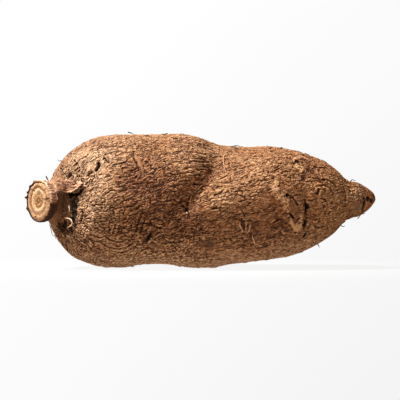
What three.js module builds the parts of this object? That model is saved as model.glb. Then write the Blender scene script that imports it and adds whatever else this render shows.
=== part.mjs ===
// A cassava root as it is sold: one solid root with its cut neck, lying on its side.
//
// Millimetres, +Z up. +X runs from the cut neck to the tip, -Y is the root's front, and the origin is
// under the middle of its box, on the surface that it lies on. The skin is a loft: sections follow one
// another from the tip to the cut face of the neck, each set in a plane of its own.
import * as THREE from "three";
import { mergeVertices } from "three/addons/utils/BufferGeometryUtils.js";

// ---- Driving dimensions -------------------------------------------------------------------------

const AXIS_HEIGHT = 46; // the neck's and the bulb's middle above the surface
const NECK_TURN = 42; // degrees that the neck leans from the root's long axis to the front
const CUT_RADIUS = 12.6; // the bare wood of the cut face
const BARK_RADIUS = 14.5; // the bark round it
const NECK_RADIUS = 12.4; // the smooth neck behind the bark's broken edge
const CUT_CENTRE = new THREE.Vector3(-108.8, -27.2, AXIS_HEIGHT + 1.2);

const COLUMNS = 58; // faces round each section
const ROW_STEP = 3.2; // spacing of the rows along the skin
const NECK_ROW_STEP = 1.9; // the same from the shoulder to the cut face, where the form is finer
const REST_DEPTH = 0.7; // how much of each belly is worn flat where it lies

// One section each: the centre, the turn of its plane towards the front in degrees, and the reach from
// the centre up, down, to the front and to the back.
const section = (x, y, z, turn, up, down, front, back) => ({ x, y, z, turn, up, down, front, back });

const TIP = [
  section(123.6, 0, 48.6, 0, 1.8, 1.8, 1.8, 1.8),
  section(122.4, 0, 48.4, 0, 4.4, 4.6, 4.4, 4.4),
  section(118.4, 0, 48.2, 0, 7.8, 8.4, 7.6, 7.4),
  section(112.0, 0, 47.8, 0, 12.6, 12.6, 11.4, 10.8),
  section(105.0, 0, 47.4, 0, 15.4, 14.4, 14.2, 13.6),
  section(99.0, 0, 46.8, 0, 21.0, 18.4, 18.6, 18.2),
];
const TAPER = [
  section(90.3, 0, 47.0, 0, 26.6, 24.8, 25.6, 24.8),
  section(79.0, 0, 46.6, 0, 31.4, 30.6, 31.0, 30.4),
  section(66.0, 0, 46.4, 0, 36.2, 35.6, 36.2, 36.0),
];
const LOBE = [
  section(50.0, 0, 46.0, 0, 40.4, 39.0, 40.2, 39.4),
  section(34.0, 0, 45.4, 0, 40.4, 41.8, 41.6, 41.0),
  section(20.0, 0, 45.2, 0, 41.4, 43.6, 42.0, 42.0),
  section(6.0, 0, 45.4, 0, 44.6, 45.8, 42.8, 44.0),
];
const BULB = [
  section(-8.0, 0, 45.8, 0, 47.4, 45.2, 45.4, 46.0),
  section(-24.0, 0, 46.0, 0, 47.2, 43.4, 46.6, 46.6),
  section(-40.0, 0, 46.0, 0, 47.0, 42.8, 46.4, 46.4),
  section(-57.0, 0, 46.0, 0, 47.2, 45.2, 46.0, 45.4),
  section(-72.0, 0, 46.0, 0, 46.2, 44.4, 44.2, 44.2),
];
const SHOULDER = [
  section(-82.8, -2.6, 46.0, 5, 41.8, 40.6, 38.6, 40.2),
  section(-89.0, -6.2, 45.9, 12, 36.8, 36.4, 30.8, 34.8),
  section(-92.9, -9.9, 45.9, 20, 30.8, 31.4, 21.6, 28.6),
  section(-95.7, -13.2, 45.9, 28, 24.2, 25.6, 15.5, 22.2),
  section(-97.5, -16.0, 46.2, 35, 18.2, 19.2, 13.0, 16.8),
];
// The neck's sections are round, and share its turn: distance behind the cut face, then radius.
const NECK = [
  [12.2, NECK_RADIUS + 1.0],
  [9.0, NECK_RADIUS],
  [6.8, NECK_RADIUS + 0.2],
  [5.6, BARK_RADIUS],
  [3.6, BARK_RADIUS + 0.3],
  [1.4, BARK_RADIUS],
  [0.5, CUT_RADIUS + 1.4],
  [0.0, CUT_RADIUS],
];

// Folds of the skin: points of the valley as [distance along X, degrees round from the front, where
// 90 is the top], then how deep and how wide it is. `steep` narrows the side nearer the neck.
const FOLDS = [
  {
    path: [[16, 100], [11, 80], [8, 60], [4, 43], [1, 26], [-2, 14], [-7, 6], [-9, -3], [-9, -16]],
    depth: 4.0,
    width: 10,
    steep: 0.5,
  },
  { path: [[70, 24], [72, 8], [73, -8], [73, -28], [71, -50]], depth: 1.6, width: 4, steep: 0.8 },
  { path: [[27, -1], [29, -14], [32, -32]], depth: 1.4, width: 4, steep: 1 },
];

// Where the neck leaves the shoulder, below the ridge of bark that runs on to the neck's upper side.
const HOLLOW = { behindCut: 19, length: 7, from: 20, to: -78, depth: 2.2 };
const RIDGE = { behindCut: 16, length: 10, from: 25, to: 72, height: 2.6 };

// ---- The form -----------------------------------------------------------------------------------

const rad = THREE.MathUtils.degToRad;
const KEYS = ["x", "y", "z", "turn", "up", "down", "front", "back"];

// Way that the section's plane faces: towards the neck's end, and to the front as it turns.
function facing(turn) {
  return new THREE.Vector3(-Math.cos(rad(turn)), -Math.sin(rad(turn)), 0);
}

function neckSections() {
  const way = facing(NECK_TURN);
  return NECK.map(([behind, radius]) => {
    const centre = CUT_CENTRE.clone().addScaledVector(way, -behind);
    return section(centre.x, centre.y, centre.z, NECK_TURN, radius, radius, radius, radius);
  });
}

const SECTIONS = [...TIP, ...TAPER, ...LOBE, ...BULB, ...SHOULDER, ...neckSections()];

// Position along the sections, as a Catmull-Rom curve through each of their numbers.
function sectionAt(t) {
  const last = SECTIONS.length - 1;
  const i = Math.min(Math.floor(t), last - 1);
  const f = t - i;
  const pick = (k) => SECTIONS[THREE.MathUtils.clamp(k, 0, last)];
  const four = [pick(i - 1), pick(i), pick(i + 1), pick(i + 2)];
  const found = {};
  for (const key of KEYS) {
    const [a, b, c, d] = four.map((s) => s[key]);
    const bend = f * f * (2 * a - 5 * b + 4 * c - d) + f ** 3 * (3 * b - a - 3 * c + d);
    found[key] = 0.5 * (2 * b + f * (c - a) + bend);
  }
  return found;
}

// The point of a section at an angle: 0 faces the front, 90 up, 180 the back and -90 down.
function pointOf(s, angle) {
  const across = Math.cos(angle) >= 0 ? s.front : s.back;
  const high = Math.sin(angle) >= 0 ? s.up : s.down;
  const toFront = new THREE.Vector3(Math.sin(rad(s.turn)), -Math.cos(rad(s.turn)), 0);
  return new THREE.Vector3(s.x, s.y, s.z)
    .addScaledVector(toFront, across * Math.cos(angle))
    .add(new THREE.Vector3(0, 0, high * Math.sin(angle)));
}

// Broad swellings, a millimetre or so high, that keep the skin from being a turned shape.
const SWELLINGS = [
  { size: 0.8, along: 17, round: 2, start: 0.4 },
  { size: 0.7, along: 29, round: 3, start: 2.1 },
  { size: 0.6, along: 11, round: 4, start: 4.0 },
  { size: 0.4, along: 8, round: 5, start: 1.2 },
];

function swelling(x, angle) {
  return SWELLINGS.reduce(
    (sum, w) => sum + w.size * Math.sin(x / w.along + w.start) * Math.cos(w.round * angle + w.start),
    0,
  );
}

// Smoothly from 0 to 1 and back as v runs over a window, with soft ends.
function window01(v, from, to, soft) {
  const [low, high] = from < to ? [from, to] : [to, from];
  const smooth = THREE.MathUtils.smoothstep;
  return smooth(v, low - soft, low + soft) * (1 - smooth(v, high - soft, high + soft));
}

// Where x falls along the sections, for the body, whose planes hardly turn.
function bodyPosition(x) {
  let [low, high] = [0, SECTIONS.length - NECK.length - 1];
  for (let n = 0; n < 40; n++) {
    const middle = (low + high) / 2;
    if (sectionAt(middle).x > x) low = middle;
    else high = middle;
  }
  return (low + high) / 2;
}

const VALLEYS = FOLDS.map((fold) => ({
  ...fold,
  curve: new THREE.CatmullRomCurve3(
    fold.path.map(([x, degrees]) => pointOf(sectionAt(bodyPosition(x)), rad(degrees))),
  ).getPoints(40),
}));

// How far a fold lets the skin in at a point: deepest in the valley, and nothing at the fold's ends.
function foldDepth(fold, point) {
  let nearest = Infinity;
  let index = 0;
  fold.curve.forEach((p, i) => {
    const distance = p.distanceTo(point);
    if (distance < nearest) [nearest, index] = [distance, i];
  });
  const width = point.x < fold.curve[index].x ? fold.width * fold.steep : fold.width;
  const share = index / (fold.curve.length - 1);
  const fade = THREE.MathUtils.smoothstep(Math.sin(Math.PI * share), 0, 0.6);
  return fold.depth * fade * Math.exp(-((nearest / width) ** 2));
}

// Outward shift of the skin from its section, in millimetres.
function relief(s, point, angle, behindCut) {
  const body = THREE.MathUtils.smoothstep(behindCut, 14, 40);
  const tip = THREE.MathUtils.smoothstep(122 - s.x, 2, 30);
  const degrees = THREE.MathUtils.radToDeg(Math.atan2(Math.sin(angle), Math.cos(angle)));
  const atNeck = (f) => window01(behindCut, f.behindCut - f.length, f.behindCut + f.length, 5);
  const hollow = HOLLOW.depth * atNeck(HOLLOW) * window01(degrees, HOLLOW.from, HOLLOW.to, 10);
  const ridge = RIDGE.height * atNeck(RIDGE) * window01(degrees, RIDGE.from, RIDGE.to, 10);
  const folds = VALLEYS.reduce((sum, fold) => sum + foldDepth(fold, point), 0);
  return body * tip * swelling(s.x, angle) + ridge - hollow - folds;
}

function skinPoint(t, angle) {
  const s = sectionAt(t);
  const plain = pointOf(s, angle);
  const centre = new THREE.Vector3(s.x, s.y, s.z);
  const behindCut = CUT_CENTRE.distanceTo(centre);
  const out = plain.clone().sub(centre).normalize();
  return plain.addScaledVector(out, relief(s, plain, angle, behindCut));
}

// ---- The mesh -----------------------------------------------------------------------------------

// Positions along the sections, spaced evenly on the skin: by how far the skin's upper line runs.
function rowPositions() {
  const last = SECTIONS.length - 1;
  const neckFrom = SECTIONS.length - NECK.length - SHOULDER.length;
  const rows = [0];
  let before = pointOf(sectionAt(0), rad(90));
  let run = 0;
  const fine = 0.002;
  for (let t = fine; t <= last; t += fine) {
    const here = pointOf(sectionAt(t), rad(90));
    run += here.distanceTo(before);
    before = here;
    if (run >= (t > neckFrom ? NECK_ROW_STEP : ROW_STEP)) {
      rows.push(t);
      run = 0;
    }
  }
  if (last - rows.at(-1) < 0.3) rows.pop();
  return [...rows, last];
}

// The worn flats: skin that would reach below the surface, or all but touches it, lies on it.
function rest(point) {
  const above = point.z - REST_DEPTH;
  return new THREE.Vector3(point.x, point.y, above < 0.05 ? 0 : above);
}

function rootGeometry() {
  const rows = rowPositions();
  const vertices = [];
  const index = [];
  for (const t of rows)
    for (let c = 0; c < COLUMNS; c++)
      vertices.push(rest(skinPoint(t, (c / COLUMNS) * 2 * Math.PI)));
  for (let r = 0; r + 1 < rows.length; r++)
    for (let c = 0; c < COLUMNS; c++) {
      const next = (c + 1) % COLUMNS;
      const [a, b] = [r * COLUMNS + c, r * COLUMNS + next];
      const [d, e] = [a + COLUMNS, b + COLUMNS];
      index.push(a, b, d, b, e, d);
    }
  const close = (row, middle, faceOut) => {
    const hub = vertices.push(middle) - 1;
    for (let c = 0; c < COLUMNS; c++) {
      const [a, b] = [row * COLUMNS + c, row * COLUMNS + ((c + 1) % COLUMNS)];
      index.push(...(faceOut ? [hub, a, b] : [hub, b, a]));
    }
  };
  const [first, end] = [SECTIONS[0], SECTIONS.at(-1)];
  close(0, rest(new THREE.Vector3(first.x, first.y, first.z)), false);
  close(rows.length - 1, rest(new THREE.Vector3(end.x, end.y, end.z)), true);
  const geometry = new THREE.BufferGeometry().setFromPoints(vertices).setIndex(index);
  return mergeVertices(geometry);
}

const root = new THREE.Mesh(
  rootGeometry(),
  new THREE.MeshStandardMaterial({ color: 0x96694a, roughness: 0.85, metalness: 0 }),
);
root.name = "cassava_root";

// The box's middle comes over the origin.
root.geometry.computeBoundingBox();
const box = root.geometry.boundingBox;
root.position.set(-(box.min.x + box.max.x) / 2, -(box.min.y + box.max.y) / 2, -box.min.z);

const part = new THREE.Group();
part.add(root);
export default part;
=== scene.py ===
"""A cassava root lying on a pale surface: its skin, its sawn neck, and the rootlets and flakes on it.

The skin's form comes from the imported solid. Everything is worked out in millimetres in the part's own
frame, where +X runs from the cut neck to the tip, -Y is the front and +Z is up, and goes to metres
when a mesh is made.
"""

import math

import bpy
import numpy as np
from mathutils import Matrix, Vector
from mathutils.bvhtree import BVHTree


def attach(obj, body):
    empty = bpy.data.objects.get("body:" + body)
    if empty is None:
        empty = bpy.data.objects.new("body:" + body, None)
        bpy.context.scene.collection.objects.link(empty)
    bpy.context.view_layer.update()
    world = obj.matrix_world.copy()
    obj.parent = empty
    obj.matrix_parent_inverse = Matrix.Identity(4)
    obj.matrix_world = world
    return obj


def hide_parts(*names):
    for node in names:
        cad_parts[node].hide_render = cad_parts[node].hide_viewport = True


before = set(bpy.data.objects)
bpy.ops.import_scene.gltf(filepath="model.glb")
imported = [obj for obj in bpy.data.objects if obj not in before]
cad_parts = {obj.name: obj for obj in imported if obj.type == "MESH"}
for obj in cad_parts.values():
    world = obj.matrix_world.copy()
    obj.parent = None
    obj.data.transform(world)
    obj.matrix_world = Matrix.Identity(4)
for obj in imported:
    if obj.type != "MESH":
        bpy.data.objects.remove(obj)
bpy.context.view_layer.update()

MM = 0.001
NODE = "cassava_root"

# ---- Small tools ----


def smooth(v, low, high):
    """From 0 at low to 1 at high, with soft ends. high may be the smaller."""
    t = np.clip((v - low) / (high - low), 0, 1)
    return t * t * (3 - 2 * t)


def bell(v, width):
    """1 where v is 0, falling off over the width on both sides."""
    return np.exp(-((v / width) ** 2))


def unit(v):
    return v / np.maximum(np.linalg.norm(v, axis=-1, keepdims=True), 1e-9)


def polar(radius, turn, along):
    """Points about an axis, from grids of how far off it, how far round it and how far along it."""
    return np.stack([radius * np.cos(turn), radius * np.sin(turn), along], axis=-1).reshape(-1, 3)


class Noise:
    """Gradient noise in 3-D, about -1 to 1, the same on every run."""

    def __init__(self, seed):
        rng = np.random.default_rng(seed)
        self.order = np.tile(rng.permutation(256), 3)
        self.slopes = unit(rng.normal(size=(256, 3)))

    def __call__(self, p):
        cell = np.floor(p).astype(int)
        f = p - cell
        ease = f * f * f * (f * (f * 6 - 15) + 10)
        total = np.zeros(len(p))
        for corner in range(8):
            o = np.array([(corner >> k) & 1 for k in range(3)])
            c = (cell + o) & 255
            which = self.order[self.order[self.order[c[:, 0]] + c[:, 1]] + c[:, 2]]
            weight = np.prod(np.where(o == 1, ease, 1 - ease), axis=1)
            total += weight * ((f - o) * self.slopes[which]).sum(1)
        return 1.6 * total


def cells(p, seed, jitter=1.0):
    """For each p: how far the nearest and the next scattered point are, a number of the nearest's own,
    and the way from it."""
    rng = np.random.default_rng(seed)
    order = np.tile(rng.permutation(256), 3)
    shift = rng.uniform(-0.5, 0.5, (256, 3)) * jitter + 0.5
    own = rng.uniform(0, 1, 256)
    cell = np.floor(p).astype(int)
    first = np.full(len(p), 9.0)
    second = np.full(len(p), 9.0)
    number = np.zeros(len(p))
    offset = np.zeros(p.shape)
    for corner in range(27):
        c = cell + np.array([corner % 3 - 1, corner // 3 % 3 - 1, corner // 9 - 1])
        m = c & 255
        which = order[order[order[m[:, 0]] + m[:, 1]] + m[:, 2]]
        way = p - c - shift[which]
        far = np.sqrt((way**2).sum(1))
        nearer = far < first
        second = np.where(nearer, first, np.minimum(second, far))
        number[nearer] = own[which[nearer]]
        offset[nearer] = way[nearer]
        first = np.minimum(first, far)
    return first, second, number, offset


def blur(v, times, axis, around=False):
    """Evens out v along an axis; `around` where that axis closes on itself."""
    v = np.moveaxis(v, axis, 0)
    for _ in range(times):
        if around:
            v = (np.roll(v, 1, 0) + 2 * v + np.roll(v, -1, 0)) / 4
        else:
            inner = (v[:-2] + 2 * v[1:-1] + v[2:]) / 4
            v = np.concatenate([v[:1], inner, v[-1:]])
    return np.moveaxis(v, 0, axis)


def curve_through(points, count=40):
    """Catmull-Rom curve through 3-D points, as `count` points evenly along it."""
    p = np.array(points, float)
    if len(p) == 2:
        return p[0] + np.linspace(0, 1, count)[:, None] * (p[1] - p[0])
    ends = np.vstack([2 * p[0] - p[1], p, 2 * p[-1] - p[-2]])
    f = np.linspace(0, 1, 16, endpoint=False)[:, None]
    out = []
    for a, b, c, d in zip(ends, ends[1:], ends[2:], ends[3:]):
        cube = f**3 * (3 * b - a - 3 * c + d)
        out.append(0.5 * (2 * b + f * (c - a) + f**2 * (2 * a - 5 * b + 4 * c - d) + cube))
    out = np.vstack(out + [p[-1:]])
    run = np.concatenate([[0], np.cumsum(np.linalg.norm(np.diff(out, axis=0), axis=1))])
    want = np.linspace(0, run[-1], count)
    return np.stack([np.interp(want, run, out[:, k]) for k in range(3)], axis=1)


# ---- The solid's form ----

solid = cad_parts[NODE]
corners = np.array([v.co for v in solid.data.vertices]) / MM
tree = BVHTree.FromPolygons(
    [Vector(c) for c in corners], [tuple(p.vertices) for p in solid.data.polygons]
)


def cut_face():
    """Centre, outward direction and radius of the flat that the saw left on the neck."""
    normals = np.array([p.normal for p in solid.data.polygons])
    areas = np.array([p.area for p in solid.data.polygons]) / MM**2
    centres = np.array([p.center for p in solid.data.polygons]) / MM
    groups = {}
    for i, n in enumerate(normals):
        if abs(n[2]) < 0.02 and n[0] < 0:
            groups.setdefault((round(n[0], 2), round(n[1], 2)), []).append(i)
    best = max(groups.values(), key=lambda g: areas[g].sum())
    area = areas[best].sum()
    centre = (centres[best] * areas[best][:, None]).sum(0) / area
    return centre, unit(normals[best].mean(0)), math.sqrt(area / math.pi)


CUT, OUT, CUT_RADIUS = cut_face()
UP = np.array([0.0, 0.0, 1.0])
ACROSS = np.cross(UP, OUT)  # level, and to the front and right of the neck
TIP_X = corners[:, 0].max()
MIDDLE = (corners[:, 2].min() + corners[:, 2].max()) / 2

NECK_IN = 12.5  # how far behind the cut face the neck meets the body
BARK_BACK = 7.2  # how far behind the cut face the collar of bark hides the neck's skin
BEND_FROM = -62.0  # where the grid's rows begin to turn towards the neck
CAP = 7.0  # the tip's last stretch, whose rows fan out from one point
TIP_HEIGHT = 48.6
ROW_STEP, NECK_STEP = 0.3, 0.15  # spacing of the rows that are cast from the axis
ROWS, COLUMNS = 740, 500
SKIN_STRETCHES = 4
FRONT_BIAS = 0.42  # columns stand closer together at the front, where the root is seen from nearest
FURROW_SHIFT = 5.0  # the furrow's upper part stands this much nearer the tip than in the solid
BODY_X = -1.3  # the middle of the body without its neck, from where marks are placed


def rows_inside():
    """The grid's rows before they are spaced out: centre, way to the neck, and angle from the axis."""
    rows = []
    axis = np.array([-1.0, 0.0, 0.0])
    tip = np.array([TIP_X - CAP, 0, TIP_HEIGHT])
    for a in np.linspace(0.5, 90, 40):
        rows.append((tip, axis, math.radians(a)))
    for x in np.arange(tip[0] - ROW_STEP, BEND_FROM, -ROW_STEP):
        lift = smooth(x, 60, tip[0]) * (tip[2] - MIDDLE)
        rows.append((np.array([x, 0, MIDDLE + lift]), axis, math.pi / 2))
    start, end = np.array([BEND_FROM, 0, MIDDLE]), CUT - OUT * NECK_IN
    pull = np.linalg.norm(end - start) * 1.15
    for t in np.linspace(0, 1, 220)[1:]:
        h = [2 * t**3 - 3 * t**2 + 1, t**3 - 2 * t**2 + t, -2 * t**3 + 3 * t**2, t**3 - t**2]
        s = [6 * t**2 - 6 * t, 3 * t**2 - 4 * t + 1, -6 * t**2 + 6 * t, 3 * t**2 - 2 * t]
        centre = h[0] * start + h[1] * axis * pull + h[2] * end + h[3] * OUT * pull
        way = s[0] * start + s[1] * axis * pull + s[2] * end + s[3] * OUT * pull
        way[2] = 0
        rows.append((centre, unit(way), math.pi / 2))
    for d in np.arange(NECK_IN - NECK_STEP, 2.5, -NECK_STEP):
        rows.append((CUT - OUT * d, OUT, math.pi / 2))
    return rows


def form_grid():
    """The skin before its relief: its points as [row, column, xyz], how far each is from the axis, how
    far each row is behind the cut, and each column's angle."""
    centre, way, tilt = (np.array(v) for v in zip(*rows_inside()))
    even = np.arange(COLUMNS) / COLUMNS * 2 * math.pi
    angle = even - FRONT_BIAS * np.sin(even)
    front = np.stack([-way[:, 1], way[:, 0], 0 * way[:, 0]], axis=1)
    ray = np.sin(tilt)[:, None, None] * (
        np.cos(angle)[None, :, None] * front[:, None, :] + np.sin(angle)[None, :, None] * UP
    ) - np.cos(tilt)[:, None, None] * way[:, None, :]
    reach = np.zeros(ray.shape[:2])
    for r in range(len(ray)):
        origin = Vector(centre[r])
        for c in range(COLUMNS):
            reach[r, c] = tree.ray_cast(origin, Vector(ray[r, c]))[3] or reach[r - 1, c]
    behind = ((CUT - centre) * OUT).sum(1)
    under_bark = (behind < BARK_BACK) & (way @ OUT > 0.999)
    reach[under_bark] = np.minimum(reach[under_bark], CUT_RADIUS - 0.1)
    plain = blur(blur(reach, 60, 0), 28, 1, around=True)
    return centre[:, None, :] + ray * plain[:, :, None], plain, behind, angle


def spaced(dense, plain, behind):
    """The rows respaced evenly along the skin, but closer together at the shoulder and the tip. Gives
    their points, then how far each is along the skin, from the axis and behind the cut."""
    steps = np.linalg.norm(np.diff(dense, axis=0), axis=2)
    weight = 1 + 0.7 * smooth(dense[1:, :, 0], -74, -88) + 0.3 * smooth(dense[1:, :, 0], 96, 108)
    start = np.zeros((1, COLUMNS))
    run = np.concatenate([start, np.cumsum(steps, axis=0)])
    paced = np.concatenate([start, np.cumsum(steps * weight, axis=0)])
    known = [*np.moveaxis(dense, 2, 0), run, plain, behind[:, None] + start]
    found = np.zeros((len(known), ROWS, COLUMNS))
    for c in range(COLUMNS):
        want = np.linspace(0, paced[-1, c], ROWS)
        for k, values in enumerate(known):
            found[k, :, c] = np.interp(want, paced[:, c], values[:, c])
    return np.stack(found[:3], axis=2), *found[3:]


def outward(points):
    """Outward directions of a grid whose columns close on themselves."""
    along = np.gradient(points, axis=0)
    round_ = np.roll(points, -1, 1) - np.roll(points, 1, 1)
    n = unit(np.cross(round_, along))
    middle = points.mean(1, keepdims=True)
    return n if ((points - middle) * n).sum(2).mean() > 0 else -n


def grid_faces(rows, columns, around=True):
    r, c = np.meshgrid(np.arange(rows - 1), np.arange(columns if around else columns - 1), indexing="ij")
    n = (c + 1) % columns
    quads = np.stack([r * columns + c, r * columns + n, (r + 1) * columns + n, (r + 1) * columns + c], -1)
    return quads.reshape(-1, 4)


dense, plain, behind, angle = form_grid()
points, length, reach, behind_cut = spaced(dense, plain, behind)
in_furrow = bell(points[..., 0], 10) * smooth(points[..., 2], 56, 66) * smooth(points[..., 2], 85, 77)
points[..., 0] += FURROW_SHIFT * in_furrow * smooth(points[..., 1], -2, -16)
normals = outward(points)

P = points.reshape(-1, 3)
X, Z = P[:, 0], P[:, 2]
N = normals.reshape(-1, 3)
S = length.reshape(-1)
BEHIND = behind_cut.reshape(-1)
ANGLE = np.tile(angle, ROWS)
ROUND_REACH = np.repeat(18 + 0.6 * reach.mean(1), COLUMNS)


def flow_at(turn):
    """Coordinates for noise, which run along the root and round it with no seam."""
    return np.stack([S, ROUND_REACH * np.cos(turn), ROUND_REACH * np.sin(turn)], axis=1)


FLOW = flow_at(ANGLE)

every_other = points[::2, ::2]
skin_faces = grid_faces(*every_other.shape[:2])
skin_tree = BVHTree.FromPolygons(every_other.reshape(-1, 3).tolist(), skin_faces.tolist())
skin_ways = normals[::2, ::2].reshape(-1, 3)


def on_skin(x, z):
    """The point of the plain skin at that x and z, on the front."""
    hit = skin_tree.ray_cast(Vector((x + BODY_X, -200, z)), Vector((0, 1, 0)))[0]
    return np.array(hit if hit is not None else (x + BODY_X, 0, z))


def track(path):
    """A curve on the front of the skin, through pairs of x and z."""
    return curve_through([on_skin(x, z) for x, z in path])


def skin_near(point):
    """The nearest point of the plain skin, and the way out of it there."""
    found, _, face, _ = skin_tree.find_nearest(Vector(point))
    return np.array(found), skin_ways[skin_faces[face][0]]


def away(point):
    """How far each point of the skin is from a point."""
    return np.linalg.norm(P - point, axis=1)


# ---- The skin's relief ----

height = np.zeros(len(P))
# crease darkens cracks and hollows with painted shade; soil blackens pits, gaps and cavities with soil and
# painted shade; pale is the skin's paler patches and, along proud edges, a painted highlight.
mask = {name: np.zeros(len(P)) for name in ("crease", "bare", "soil_and_shade", "pale", "umber", "warm")}


def add(name, amount, which=slice(None)):
    """Raises a mask to an amount, where it is lower."""
    mask[name][which] = np.maximum(mask[name][which], amount)


wobble, coarse, ridges, fine, breaks, blotch, grit = (Noise(seed) for seed in range(1, 8))

TWIST = 0.22  # rise of the wrinkles towards the tip, as a share of their run
ROUND = 42.0  # the root's usual radius

# The wrinkles wander: the flow is bent before anything is drawn in it.
TURNED = ANGLE + TWIST * S / ROUND
ROUND_WAY = np.stack([0 * TURNED, -np.sin(TURNED), np.cos(TURNED)], axis=1)
bend = wobble(FLOW / [9, 6, 6])
bend2 = wobble(FLOW / [4.5, 3.4, 3.4] + 31)
bend3 = wobble(FLOW / [7, 5, 5] + 77)
warped = flow_at(TURNED) + np.stack([1.4 * bend2, 1.5 * bend, 1.5 * bend3], axis=1)

FROM_AXIS = P - (CUT - OUT * BEHIND[:, None])  # the way from the neck's axis
OFF_AXIS = np.linalg.norm(FROM_AXIS, axis=1)
on_body = np.maximum(smooth(BEHIND, 10, 17), smooth(OFF_AXIS, 16.5, 19.5))
on_body *= smooth(X, TIP_X - 2, TIP_X - 16)
on_lobe = smooth(X, -6, 10)
upper = smooth(N[:, 2], 0.2, 0.8)
low_bulb = smooth(Z, 44, 26) * (1 - on_lobe)

# How the skin varies: pebbled on the bulb's middle, in long wrinkles below and on the lobe.
pebbled = 0.8 * smooth(X, 8, -30) * smooth(np.abs(Z - 50), 34, 12)
pebbled = np.clip(pebbled + 0.8 * blotch(FLOW / [30, 16, 16] + 13), 0, 1)
deep = smooth(breaks(warped / [9, 5, 5] + 9), -0.5, 0.5)
strength = on_body * (1 - 0.5 * smooth(coarse(FLOW / [26, 14, 14] + 40), 0.1, 0.55))
# Places rubbed smooth: x, z, reach.
WORN = [
    (-73.4, 69.3, 5), (-64.3, 66.4, 5), (-80, 79, 8), (-50, 70, 5), (-66, 60, 4), (61, 42, 4),
    (64, 38, 4), (68, 50, 4), (78, 52, 6), (80, 40, 5), (107, 47, 7),
]
for x, z, wide in WORN:
    strength *= 1 - 0.6 * bell(away(on_skin(x, z)), wide)


def plates(scale, seed, tilt, crack, width, hang):
    """Scales parted by cracks. Each tilts its own way, and on the whole their lower edges stand proud."""
    first, second, number, offset = cells(warped / scale, seed, 0.95)
    down = -(offset * ROUND_WAY).sum(1) * np.cos(ANGLE)
    own = np.modf(number * 37.0)[0]
    broken = smooth(np.modf(number * 91.0)[0] + 0.5 * ridges(warped / [5, 2.6, 2.6] + seed), 0.15, 0.7)
    cut = bell(second - first, width) * broken
    return tilt * (hang * down + (own - 0.5) * offset[:, 0] + 0.9 * (number - 0.5)) - crack * cut, cut


def sharp(n, cap=0.5):
    """Rounded between sharp valleys, about -0.2 to 0.3."""
    return np.minimum(np.abs(n), cap) ** 0.8 - 0.25


def lines(scale, seed, width, low, high):
    """Thin lines that wander along the root and break off, from 0 to 1: then how far off them, and where."""
    off = Noise(seed)(warped / scale)
    gate = smooth(Noise(seed + 1)(warped / np.multiply(scale, [0.7, 1.3, 1.3]) + 9), low, high)
    return bell(off, width) * gate, off, gate


def layers(count, seed, wander, scale, low, high, gap):
    """Torn layers round the root, each proud along its lower edge: their height, the gap below, the edge."""
    up = np.modf(count * TURNED / (2 * math.pi) + wander * Noise(seed)(warped / scale) + 1000)[0]
    gate = smooth(Noise(seed + 1)(warped / np.multiply(scale, [0.8, 1.5, 1.5]) + 9), low, high)
    return (1 - up) ** 1.4 * smooth(up, 0, 0.1) * gate, bell(1 - up, gap) * gate, bell(up - 0.13, 0.09) * gate


scales, cracks = plates([3.2, 2.1, 2.1], 11, 0.4, 0.5, 0.15, 1.4)
crumbs, _ = plates([1.6, 1.15, 1.15], 12, 0.3, 0.35, 0.18, 1.2)
wide_layers, wide_gaps, wide_edges = layers(56, 31, 1.7, [6.2, 4.0, 4.0], -0.25, 0.4, 0.13)
thin_layers, thin_gaps, thin_edges = layers(140, 41, 1.5, [2.9, 1.8, 1.8], -0.3, 0.3, 0.22)
long_cracks, off_long, open_long = lines([5.0, 1.6, 1.6], 51, 0.18, -0.6, 0.1)
short_cracks, off_short, open_short = lines([2.6, 0.95, 0.95], 61, 0.26, -0.4, 0.3)
strands = sharp(ridges(warped / [3.2, 1.3, 1.3] + 120))
long1 = sharp(ridges(warped / [1.45, 0.85, 0.85]))
long2 = fine(warped / [0.8, 0.55, 0.55] + 17)
folds = sharp(ridges(warped / [9.5, 3.8, 3.8] + 63), 0.4)
swell = coarse(warped / [14, 7, 7] + 5)

wrinkles = 0.2 * scales + 0.3 * strands + 0.25 * (0.6 + deep) * long1 + 0.15 * sharp(long2, 0.4)
pebbles = 0.5 * scales + (0.3 + 0.3 * deep) * crumbs + 0.25 * long1 + 0.15 * sharp(long2, 0.4)
mixed = 0.22 * wide_layers + 0.12 * thin_layers - (1 - 0.1 * upper) * (0.8 * long_cracks + 0.5 * short_cracks)
mixed += 0.6 * pebbled * (1 - upper) * pebbles + 0.45 * wrinkles - 0.5 * folds + 0.6 * swell
height += (0.6 + 0.1 * upper) * (1 - 0.17 * on_lobe) * strength * mixed
height += 0.05 * (1 - on_body) * long2
height -= 0.3 * low_bulb * strength * (long_cracks + short_cracks)
# Pale along the layers' proud edges: a painted highlight.
add("pale", 0.3 * on_body * np.maximum(wide_edges, 0.8 * thin_edges))
# Painted shade in the cracks and in the gaps under the layers' edges.
marks = np.maximum.reduce([0.6 * long_cracks, 0.4 * short_cracks, 0.8 * wide_gaps, 0.5 * thin_gaps])
marks = np.maximum(marks, 0.6 * cracks * smooth(deep, 0.1, 0.6)) * (1 + 0.4 * low_bulb)
cracked = (0.5 + 0.5 * strength) * on_body
add("crease", cracked * np.minimum(marks, 1))

# A few long thin splits, painted dark as shade, and short pits between the wrinkles.
_, _, number, offset = cells(warped / [10, 4.4, 4.4], 14)
splits = bell((offset * ROUND_WAY).sum(1), 0.1) * smooth(np.abs(offset[:, 0]), 0.4, 0.2)
splits *= smooth(number, 0.5, 0.52) * on_body
height -= 0.8 * splits
add("crease", 0.9 * splits)
far, _, number, _ = cells(warped / [7.0, 3.4, 3.4] + 71, 12)
height -= 0.6 * (number > 0.6) * (1 - smooth(far, 0.08, 0.3)) * on_body

# ---- Marks on the skin, in the order in which they lie over one another ----


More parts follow.
